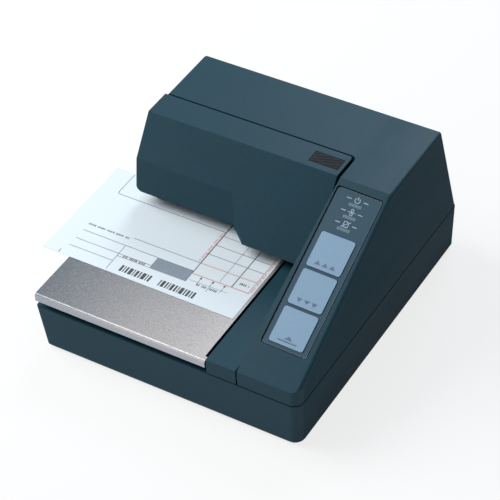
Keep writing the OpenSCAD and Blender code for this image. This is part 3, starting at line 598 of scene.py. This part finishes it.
def printed_ink(name, colour):
    """Ink of the form, a little uneven where it soaked in."""
    material, t, shader = new_material(name)
    place = t.add("ShaderNodeTexCoord").outputs["Object"]
    soaked = t.noise(place, 900.0, 4.0, 0.7)
    thin = tuple(c * 0.6 + 0.3 for c in colour)
    base = t.mix(t.ramp(soaked, 0.4, 0.75, 0.0, 0.6), colour, thin)
    t.join(base, shader.inputs["Base Color"])
    t.join(t.ramp(soaked, 0.3, 0.7, 0.6, 0.8), shader.inputs["Roughness"])
    return material


# Colours are linear.
CASE_TEAL = (0.0150, 0.0560, 0.0790)
CASE_MOULDING = dict(rough=0.38, specular=0.12, grain=1300.0, depth=0.05, patch=0.03, coarse=True)
# Table colours hold painted light: the grey is shaded at the left end, the warm grey is lit at the
# right end, and the lip colour is a painted sheen.
TABLE_GREY_SHADED = (0.125, 0.145, 0.165)
TABLE_WARM_LIT = (0.50, 0.46, 0.44)
TABLE_LIP_SHEEN = (0.46, 0.49, 0.55)
# Black, matt finish for painted shadows in narrow gaps.
SHADOW_BLACK = (0.0015, 0.0018, 0.002)
SHADOW_FINISH = dict(rough=0.9, specular=0.0, dust=0.0)
PAPER_WHITE = (0.82, 0.90, 0.95)

# Studio floor and room, and the camera; places and lengths are metres
FLOOR_DROP = 0.0002
FLOOR_WHITE = 0.95
FLOOR_BOUNCE = 0.85
FLOOR_GLOW = 0.8
ROOM_FILL = 0.17
ROOM_TINT = (0.78, 0.9, 1.0)
CAMERA_PLACE = (0.5169, -0.7786, 0.8878)
CAMERA_LENS = 149.9
CAMERA_HEADING = math.radians(33.065)
CAMERA_TILT = math.radians(90 - 42.509)
CAMERA_ROLL = math.radians(-3.581)

# Lamps: place, target, size, power in watts, and colour
OVERHEAD = ((-1.05, -0.2, 1.2), (0, 0, 0.05), 1.2, 24.0, (1.0, 1.0, 1.0))
BACK_LEFT = ((-0.25, 1.15, 1.2), (0, 0, 0.07), 0.7, 9.0, (0.76, 0.87, 1.0))
FRONT_LEFT = ((-0.9, -1.2, 0.3), (0, 0, 0.03), 0.8, 3.4, (1.0, 1.0, 1.0))
LOW_LEFT = ((-1.4, -0.25, 0.16), (0, 0, 0.06), 0.4, 3.0, (0.88, 0.94, 1.0))

# The shared effects, each made once
GRAIN = grain_effect()
HANDLING = handling_effect()
STREAKS = streak_effect()


def make_finishes():
    """One material for each material slot of the record."""
    return {
        "case_plastic": moulded("case_plastic", CASE_TEAL, **CASE_MOULDING),
        "guide_plastic": moulded("guide_plastic", CASE_TEAL, **CASE_MOULDING),
        "overlay_film": moulded(
            "overlay_film", srgb(60, 86, 101), 0.42, 0.12, 4200.0, 0.012, 0.03
        ),
        "key_plastic": moulded(
            "key_plastic", srgb(139, 170, 196), 0.4, 0.25, 3800.0, 0.01, 0.02, 0.02
        ),
        "lens_plastic": moulded("lens_plastic", srgb(98, 122, 136), 0.4, 0.25, 3000.0, 0.008, 0.03),
        "grip_rubber": moulded("grip_rubber", srgb(22, 26, 29), 0.6, 0.15, 3000.0, 0.02),
        "table_steel": table_coat(),
        "slip_paper": slip_paper(),
        "frame_steel": rolled_metal("frame_steel", srgb(190, 193, 196), 0.34),
        "shaft_steel": rolled_metal("shaft_steel", srgb(214, 216, 219), 0.16, 3200.0, 0.05),
        "screw_steel": rolled_metal("screw_steel", srgb(200, 202, 204), 0.28, 2400.0),
        "head_metal": rolled_metal("head_metal", srgb(120, 124, 128), 0.5, 900.0, 0.2),
        "motor_steel": moulded("motor_steel", srgb(48, 50, 53), 0.35, 0.5, 1500.0, 0.01),
        "pulley_brass": rolled_metal("pulley_brass", srgb(206, 176, 112), 0.25, 2600.0),
        "belt_rubber": moulded("belt_rubber", srgb(26, 26, 28), 0.7, 0.2, 2000.0),
        "roller_rubber": moulded("roller_rubber", srgb(34, 34, 36), 0.62, 0.25, 1600.0),
        "foot_rubber": moulded("foot_rubber", srgb(24, 25, 27), 0.75, 0.2, 1800.0, 0.04),
        "gear_plastic": moulded("gear_plastic", srgb(226, 220, 202), 0.38, 0.45),
        "dark_plastic": moulded("dark_plastic", srgb(28, 30, 32), 0.42, 0.4, 2800.0, 0.02),
        "cassette_plastic": moulded("cassette_plastic", srgb(32, 34, 37), 0.25, 0.5, 2200.0, 0.008),
        "knob_plastic": moulded("knob_plastic", srgb(196, 200, 204), 0.36, 0.45),
        "ribbon_cloth": inked_cloth(),
        "dome_rubber": moulded("dome_rubber", srgb(206, 205, 198), 0.5, 0.4),
        "board_green": circuit_board(),
        "connector_metal": rolled_metal("connector_metal", srgb(204, 207, 210), 0.24, 1400.0),
        "solenoid_brass": moulded("solenoid_brass", srgb(120, 96, 48), 0.35, 0.5, 800.0, 0.03),
    }


FINISH = make_finishes()
SLOTS = {row["node"]: row["material_slot"] for row in frame["record"]["subparts"]}


def dress_nodes():
    """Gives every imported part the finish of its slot."""
    for node, obj in frame["nodes"].items():
        for slot in obj.material_slots:
            slot.material = FINISH[SLOTS[node]]


# ---- case shells, keys and table ---------------------------------------------------------


def off_seam(point):
    """True away from the joint between the cases, whose lips stay crisp."""
    return abs(point.z / MM - BASE_DROP - SEAM) > SEAM_LIP


def case_shells():
    """Mouldings with softly rounded edges."""
    plastic = FINISH["case_plastic"]
    softened("ribbon_cover", 0.9, plastic)
    softened("upper_case", 0.8, plastic, chosen=off_seam)
    softened("lower_case", 0.5, plastic, chosen=off_seam)
    softened("side_guide", 0.35, FINISH["guide_plastic"], chosen=off_seam)


def case_outline(inset):
    """The case's edge set in a little, from the guide round the right-hand side to the column."""
    points = [(GUIDE_LEFT, -HALF_DEPTH + inset)]
    for y, r, start in ((-HALF_DEPTH, FRONT_CORNER, -90), (HALF_DEPTH, BACK_CORNER, 0)):
        x, y = HALF_WIDTH - r, y + math.copysign(r, -y)
        for i in range(13):
            turn = math.radians(start + 90 * i / 12)
            points.append((x + (r - inset) * math.cos(turn), y + (r - inset) * math.sin(turn)))
    return points + [(GUIDE_LEFT, HALF_DEPTH - inset)]


def seam_shadow_strip():
    """Painted shadow: a black strip set back in the joint between the cases, which darkens the gap.
    """
    outer, inner = case_outline(0.12), case_outline(1.1)
    strips = [[a, b, d, c] for a, b, c, d in zip(outer, outer[1:], inner, inner[1:])]
    # The strip is painted shadow in the gap between the cases.
    seam_shadow_paint = moulded("seam_shadow_black", SHADOW_BLACK, **SHADOW_FINISH)
    marks("seam_shadow_strip", strips, spot, "case", "dark_plastic", seam_shadow_paint, SEAM - 0.36, SEAM + 0.36)


def key_caps():
    """The three keys with rounded rims."""
    for name in KEY_SPOTS:
        softened(name + "_key", 0.45, FINISH["key_plastic"])


def key_domes():
    """Rubber domes under the keys."""
    for name, s in KEY_SPOTS.items():
        node = name + "_dome"
        piece = bpy.data.objects.new(node + "_soft", frame["nodes"][node].data.copy())
        bpy.context.scene.collection.objects.link(piece)
        piece.data.materials.clear()
        piece.data.materials.append(FINISH["dome_rubber"])
        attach(piece, "case")
        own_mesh(piece)
        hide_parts(node)


# ---- printing on the slip ----------------------------------------------------------------


def form_lines():
    """Rules of the form in three inks: grey, dark and red."""
    grey = [
        stroke((-94.4, 1.3), (-17, 1.3), 0.55),
        stroke((-16.4, -2.3), (-5, -2.3), 0.4),
        stroke((-16.4, -11), (22, -11), 0.5),
        stroke((-18, -19.9), (22, -19.6), 0.5),
        stroke((-64, -29), (-17, -29), 0.5),
        stroke((2.1, 3.5), (2.1, -38.4), 0.35),
        stroke((-96, -36.9), (-41.8, -36.9), 0.5),
        stroke((-96, -45), (-41.8, -44.7), 0.5),
        stroke((-65, -46.8), (-41.8, -46.8), 0.4),
        stroke((-96, -52), (-65, -51.8), 0.5),
        stroke((-65, -37), (-64.5, -56), 0.45),
        stroke((-64.5, -56), (-64.4, -59.6), 0.45),
        stroke((-15, -44.4), (11, -43.8), 0.3),
    ]
    grey += arc_strokes(-94.4, 2.8, 1.5, 180, 270, 0.5, 5)
    grey += [stroke((-95.9, 2.8), (-95.9, 21), 0.5)]
    dark = [
        stroke((-16.8, 21), (-16.4, -38.4), 0.6),
        stroke((10.7, 3.5), (10.6, -38.2), 0.6),
        stroke((-98.4, -57.4), (-98.2, -60.6), 0.4),
    ]
    red = [
        stroke((-17.5, 21), (-17.1, -28.5), 0.25),
        stroke((-16.4, -29), (22.2, -28.3), 0.6),
        stroke((-16.4, -38.9), (22.4, -38.2), 0.65),
        stroke((22.3, 3.5), (22, -38.2), 0.45),
    ]
    for x, y, seed in ((-18.4, -0.2, 2), (23.2, -9.5, 5)):
        red += [[(x + v, y - u) for u, v in word] for word in small_words(0, 28, 0, 0.9, seed)]
    return grey, dark, red


def small_words(x0, x1, y, height, seed):
    """A row of small upright dashes where a form has fine print."""
    dashes, x, step = [], x0, 0
    while x < x1:
        width = 0.5 + 0.35 * ((step * 7 + seed) % 5) / 4
        if (step + seed) % 6:
            dashes.append(bar(x, y - height / 2, min(x + width, x1), y + height / 2))
        x += width + 0.45
        step += 1
    return dashes


def form_marks():
    """Bars that stand for the form's title and small print, and its three pointers."""
    title = []
    for start, widths in (
        (-57, (1.6, 0.7, 1.2, 2.2, 0.7, 1.7, 1.0, 2.4, 0.7, 1.4)),
        (-29.5, (0.8, 2, 1.1, 0.7, 1.8, 1.3, 0.7, 2.3, 0.9, 1.5, 0.8, 1.4)),
    ):
        x = start
        for width in widths:
            title.append(bar(x, -57.6, x + width, -52.2))
            x += width + 0.85
    small = small_words(-96, -66.5, -30.6, 1.5, 1)
    small += small_words(-61, -45.5, -45.8, 1.6, 3)
    small += small_words(13.6, 19.6, -33.4, 1.8, 2)
    small += small_words(-9, -2.2, -46, 1.7, 4)
    small += small_words(-0.4, 6.4, -45.8, 1.7, 1)
    pointers = []
    for x, y, foot in ((-9.2, -40.3, -46.2), (-1.1, -40.0, -48.8), (6.8, -39.8, -45.2)):
        pointers.append([(x - 0.9, y - 0.7), (x + 0.9, y - 0.7), (x, y + 1.1)])
        pointers.append(stroke((x, y - 0.7), (x, foot), 0.25))
    return title, small, pointers


def slip_sheet():
    """The slip itself, whose front edge has curled up a little."""
    x0, x1, back = -109.35, 24.95, 21.85
    rows = [-61.05, -60.2, -59.3, -58.3, -57.2, CURL_FROM, back]
    bm = bmesh.new()
    under = [[bm.verts.new(on_slip(x, y, -SLIP_THICK)) for x in (x0, x1)] for y in rows]
    over = [[bm.verts.new(on_slip(x, y, 0.0)) for x in (x0, x1)] for y in rows]
    last = len(rows) - 1
    for i in range(last):
        bm.faces.new((over[i][0], over[i][1], over[i + 1][1], over[i + 1][0]))
        bm.faces.new((under[i][0], under[i + 1][0], under[i + 1][1], under[i][1]))
        bm.faces.new((under[i][0], over[i][0], over[i + 1][0], under[i + 1][0]))
        bm.faces.new((under[i][1], under[i + 1][1], over[i + 1][1], over[i][1]))
    bm.faces.new((under[0][0], under[0][1], over[0][1], over[0][0]))
    bm.faces.new((under[last][0], over[last][0], over[last][1], under[last][1]))
    piece = finished("slip_sheet", bm, "slip", FINISH["slip_paper"])
    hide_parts("slip")


def slip_printing():
    """All the printing on the slip; where inks cross, they stand at different heights."""
    paper = ("slip", "slip_paper")
    grey, dark, red = form_lines()
    title, small, pointers = form_marks()
    grey_ink = printed_ink("grey_ink", srgb(120, 128, 136))
    dark_ink = printed_ink("dark_ink", srgb(62, 54, 66))
    red_ink = printed_ink("red_ink", srgb(214, 142, 136))
    black_ink = printed_ink("black_ink", srgb(30, 32, 38))
    field_ink = printed_ink("field_ink", srgb(128, 142, 158))
    marks("form_rules_grey", grey, on_slip, *paper, grey_ink)
    marks("form_rules_dark", dark, on_slip, *paper, dark_ink, 0.001, INK + 0.008)
    marks("form_rules_red", red, on_slip, *paper, red_ink, 0.002, INK + 0.014)
    field = [bar(-41.6, -46.6, -16.3, -37)]
    marks("form_field", field, on_slip, *paper, field_ink, 0, INK - 0.006)
    frame_lines = [
        stroke((-41.6, -37), (-41.4, -46.9), 0.5),
        stroke((-41.6, -46.8), (-16.2, -46.5), 0.5),
        stroke((-16.4, -38), (-16.4, -46.7), 0.45),
        stroke((-41.6, -37), (-16.4, -36.8), 0.4),
    ]
    marks("form_field_edge", frame_lines, on_slip, *paper, grey_ink, 0, INK + 0.004)
    marks("form_title_bars", title, on_slip, *paper, black_ink)
    marks("form_small_print", small, on_slip, *paper, dark_ink)
    marks("form_pointers", pointers, on_slip, *paper, black_ink, 0, INK + 0.01)


# ---- control panel -----------------------------------------------------------------------


def triangle(x, y, half, rise):
    """Outline of an arrow head over the middle of its foot."""
    return [(x - half, y), (x + half, y), (x, y + rise)]


def key_symbols():
    """Plain signs low on the keys: three arrows up, three down, and an arrow leaving a bar."""
    ink = printed_ink("key_ink", srgb(62, 92, 122))
    arrows = (-4.8, 0, 4.8)
    shapes = {
        "forward": [triangle(PANEL_X + x, 74.6, 1.9, 2.6) for x in arrows],
        "reverse": [triangle(PANEL_X + x, 52.9, 1.9, -2.6) for x in arrows],
        "release": [
            triangle(PANEL_X, 27.5, 2.6, 2.4),
            bar(PANEL_X - 6.2, 25.9, PANEL_X + 6.2, 26.7),
        ],
    }
    for name, outlines in shapes.items():
        key = (name + "_key", "key_plastic")
        marks(name + "_symbol", outlines, on_slope, *key, ink, KEY_TOP, KEY_TOP + INK)


def lamp_symbols():
    """Plain signs over the three lamps, between short rules: power, open rollers, sheet."""
    low = -PANEL_DEPTH
    x, width = PANEL_X, 0.45
    signs = []
    for y in LAMP_SIGNS:
        signs += [stroke((x - 7, y), (x - 4, y), 0.5), stroke((x + 4, y), (x + 7, y), 0.5)]
    y = LAMP_SIGNS[2]
    signs += arc_strokes(x, y - 0.1, 1.6, 125, 415, width, 16)
    signs += [stroke((x, y + 0.2), (x, y + 2.2), width)]
    y = LAMP_SIGNS[1]
    for rise in (1.2, -1.2):
        signs += arc_strokes(x, y + rise, 0.85, 0, 360, width, 12)
    signs += [stroke((x - 2.6, y), (x + 2.6, y), 0.35)]
    y = LAMP_SIGNS[0]
    sheet = [(-1.5, -1.7), (-1.5, 1.7), (0.6, 1.7), (1.5, 0.8), (1.5, -1.7), (-1.5, -1.7)]
    corners = [(x + u, y + v) for u, v in sheet]
    signs += [stroke(a, b, width) for a, b in zip(corners, corners[1:])]
    signs += [stroke((x - 2.5, y - 2), (x + 2.5, y + 2), width)]
    ink = printed_ink("panel_ink", srgb(158, 182, 200))
    marks("lamp_symbols", signs, on_slope, "case", "overlay_film", ink, low, low + INK)


def panel_edge():
    """Rim of the panel film: a painted highlight as a light line all round, and a painted shadow as
    a black line beyond its left and top.
    """
    low = -PANEL_DEPTH
    edge = rounded(56.4, 21.5, 85.5, 122.9, 1.6)
    beyond = rounded(55.8, 21.5, 85.5, 123.5, 1.6)
    within = rounded(56.65, 21.75, 85.25, 122.65, 1.4)
    # Painted shadow of the recess wall beyond the film's left and top, and a painted highlight
    # along the film's edge.
    joint = moulded("panel_rim_shadow", SHADOW_BLACK, **SHADOW_FINISH)
    line = printed_ink("panel_rim_highlight", srgb(98, 122, 138))
    for name, other, bottom, top, material in (
        ("panel_rim_painted_shadow", beyond, low + 0.02, 0.02, joint),
        ("panel_rim_painted_highlight", within, low, low + 0.015, line),
    ):
        strips = []
        for a, b, c, d in zip(edge, edge[1:] + edge[:1], other, other[1:] + other[:1]):
            if max(math.dist(a, c), math.dist(b, d)) > 0.05:
                strips.append([a, b, d, c])
        marks(name, strips, on_slope, "case", "overlay_film", material, bottom, top)


# ---- grip pad ----------------------------------------------------------------------------


def ribbed_pad():
    """Soft pad with pale slanting ribs in a plain border, in place of the plain one."""
    x0, y0, x1, y1 = 32.15, 19.45, 51.35, 28.85

    def over_cover(x, y, n):
        return spot(x, y, COVER_TOP + n)

    bm = bmesh.new()
    add_plate(bm, rounded(x0, y0, x1, y1, 0.5), -0.7, -0.2, over_cover)
    base = finished("grip_pad_base", bm, "cover", FINISH["grip_rubber"])
    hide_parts("grip_pad")
    lean = Vector((math.cos(PAD_LEAN), math.sin(PAD_LEAN)))
    side = Vector((-lean.y, lean.x))
    centre = Vector(((x0 + x1) / 2, (y0 + y1) / 2))
    bm = bmesh.new()
    for i in range(-9, 10):
        middle = centre + side * i * PAD_PITCH
        for width, low, high in ((0.34, -0.21, 0.0), (0.18, -0.01, 0.1)):
            strip = stroke(tuple(middle - lean * 20), tuple(middle + lean * 20), width)
            strip = clipped(strip, x0 + 1.1, y0 + 0.8, x1 - 1.1, y1 - 0.8)
            if len(strip) > 2:
                add_plate(bm, strip, low, high, over_cover)
    ribs = moulded("grip_rib_rubber", srgb(82, 90, 96), 0.6, 0.2, 3000.0, 0.01)
    finished("grip_pad_ribs", bm, "cover", ribs)


# ---- back of the case --------------------------------------------------------------------


def socket_holes():
    """Face of the interface socket, with two rows of contacts."""
    x, z, face = INTERFACE_X, PORT_HEIGHT, INTERFACE_FACE
    holes = [disc(x + (i - 6) * PIN_PITCH, z + 1.4, 0.55) for i in range(13)]
    holes += [disc(x + (i - 5.5) * PIN_PITCH, z - 1.4, 0.55) for i in range(12)]
    body = [(x - 18.6, z - 3.4), (x + 18.6, z - 3.4), (x + 17.6, z + 3.4), (x - 17.6, z + 3.4)]
    for name, outlines, slot, low, high in (
        ("socket_insulator", [body], "dark_plastic", face, face + 0.15),
        ("socket_contacts", holes, "pulley_brass", face + 0.1, face + 0.22),
    ):
        marks(name, outlines, on_back, "case", slot, FINISH[slot], low, high)


def port_contacts():
    """Gilt wires inside the drawer socket."""
    left = [DRAWER_X - 3.2 + i * DRAWER_WIRE_PITCH for i in range(6)]
    wires = [bar(x, PORT_HEIGHT - 3.3, x + 0.3, PORT_HEIGHT + 0.2) for x in left]
    slot = "pulley_brass"
    marks("port_contacts", wires, on_back, "case", slot, FINISH[slot], -11.8, -8.5)


# ---- studio ------------------------------------------------------------------------------


def seen_directly(t):
    """1 where a surface is looked at, straight or mirrored, and 0 where it lights others."""
    rays = t.add("ShaderNodeLightPath").outputs
    direct = t.math("MAXIMUM", rays["Is Camera Ray"], rays["Is Glossy Ray"])
    return t.math("MAXIMUM", direct, rays["Is Transmission Ray"])


def studio_floor():
    """Plain floor that reads as white, keeps a light shadow and throws little light back."""
    bpy.ops.mesh.primitive_plane_add(size=8, location=(0, 0, -FLOOR_DROP))
    floor = bpy.context.object
    floor.name = "studio_floor"
    material, t, shader = new_material("studio_floor")
    shader.inputs["Roughness"].default_value = 0.9
    shader.inputs["Specular IOR Level"].default_value = 0.0
    direct = seen_directly(t)
    paint = t.mix(direct, (FLOOR_BOUNCE,) * 3, (FLOOR_WHITE,) * 3)
    t.join(paint, shader.inputs["Base Color"])
    glow = t.add("ShaderNodeEmission")
    mixed = t.add("ShaderNodeMixShader")
    t.join(t.math("MULTIPLY", direct, FLOOR_GLOW), mixed.inputs[0])
    t.join(shader.outputs[0], mixed.inputs[1])
    t.join(glow.outputs[0], mixed.inputs[2])
    t.join(mixed.outputs[0], t.tree.nodes["Material Output"].inputs["Surface"])
    floor.data.materials.append(material)


def studio_world():
    """White room to the eye and in reflections, and a soft bluish fill on the object."""
    world = bpy.data.worlds.new("studio")
    bpy.context.scene.world = world
    world.use_nodes = True
    t = Tree(world.node_tree)
    back = world.node_tree.nodes["Background"]
    direct = seen_directly(t)
    t.join(t.ramp(direct, 0.0, 1.0, ROOM_FILL, 1.0), back.inputs["Strength"])
    t.join(t.mix(direct, ROOM_TINT, (1.0, 1.0, 1.0)), back.inputs["Color"])


def softbox(name, place, target, size, power, colour):
    """A round soft lamp that points at a target."""
    lamp = bpy.data.lights.new(name, "AREA")
    lamp.shape = "DISK"
    lamp.size = size
    lamp.energy = power
    lamp.color = colour
    holder = bpy.data.objects.new(name, lamp)
    holder.location = place
    towards = Vector(target) - Vector(place)
    holder.rotation_euler = towards.to_track_quat("-Z", "Y").to_euler()
    bpy.context.scene.collection.objects.link(holder)


def studio_lamps():
    """Four soft lamps, and colours shown as they are written."""
    softbox("overhead", *OVERHEAD)
    softbox("back_left", *BACK_LEFT)
    softbox("front_left", *FRONT_LEFT)
    softbox("low_left", *LOW_LEFT)
    bpy.context.scene.view_settings.view_transform = "Standard"


def studio_camera():
    """A long lens from the front right, well above the table."""
    camera = bpy.data.cameras.new("camera")
    camera.lens = CAMERA_LENS
    camera.sensor_width = 36
    holder = bpy.data.objects.new("camera", camera)
    turn = (
        Matrix.Rotation(CAMERA_HEADING, 4, "Z")
        @ Matrix.Rotation(CAMERA_TILT, 4, "X")
        @ Matrix.Rotation(CAMERA_ROLL, 4, "Z")
    )
    holder.matrix_world = Matrix.Translation(CAMERA_PLACE) @ turn
    bpy.context.scene.collection.objects.link(holder)
    bpy.context.scene.camera = holder


def build():
    """Makes every piece, then the studio round them."""
    dress_nodes()
    case_shells()
    seam_shadow_strip()
    key_caps()
    key_domes()
    slip_sheet()
    slip_printing()
    key_symbols()
    lamp_symbols()
    panel_edge()
    ribbed_pad()
    socket_holes()
    port_contacts()
    studio_floor()
    studio_world()
    studio_lamps()
    studio_camera()


build()
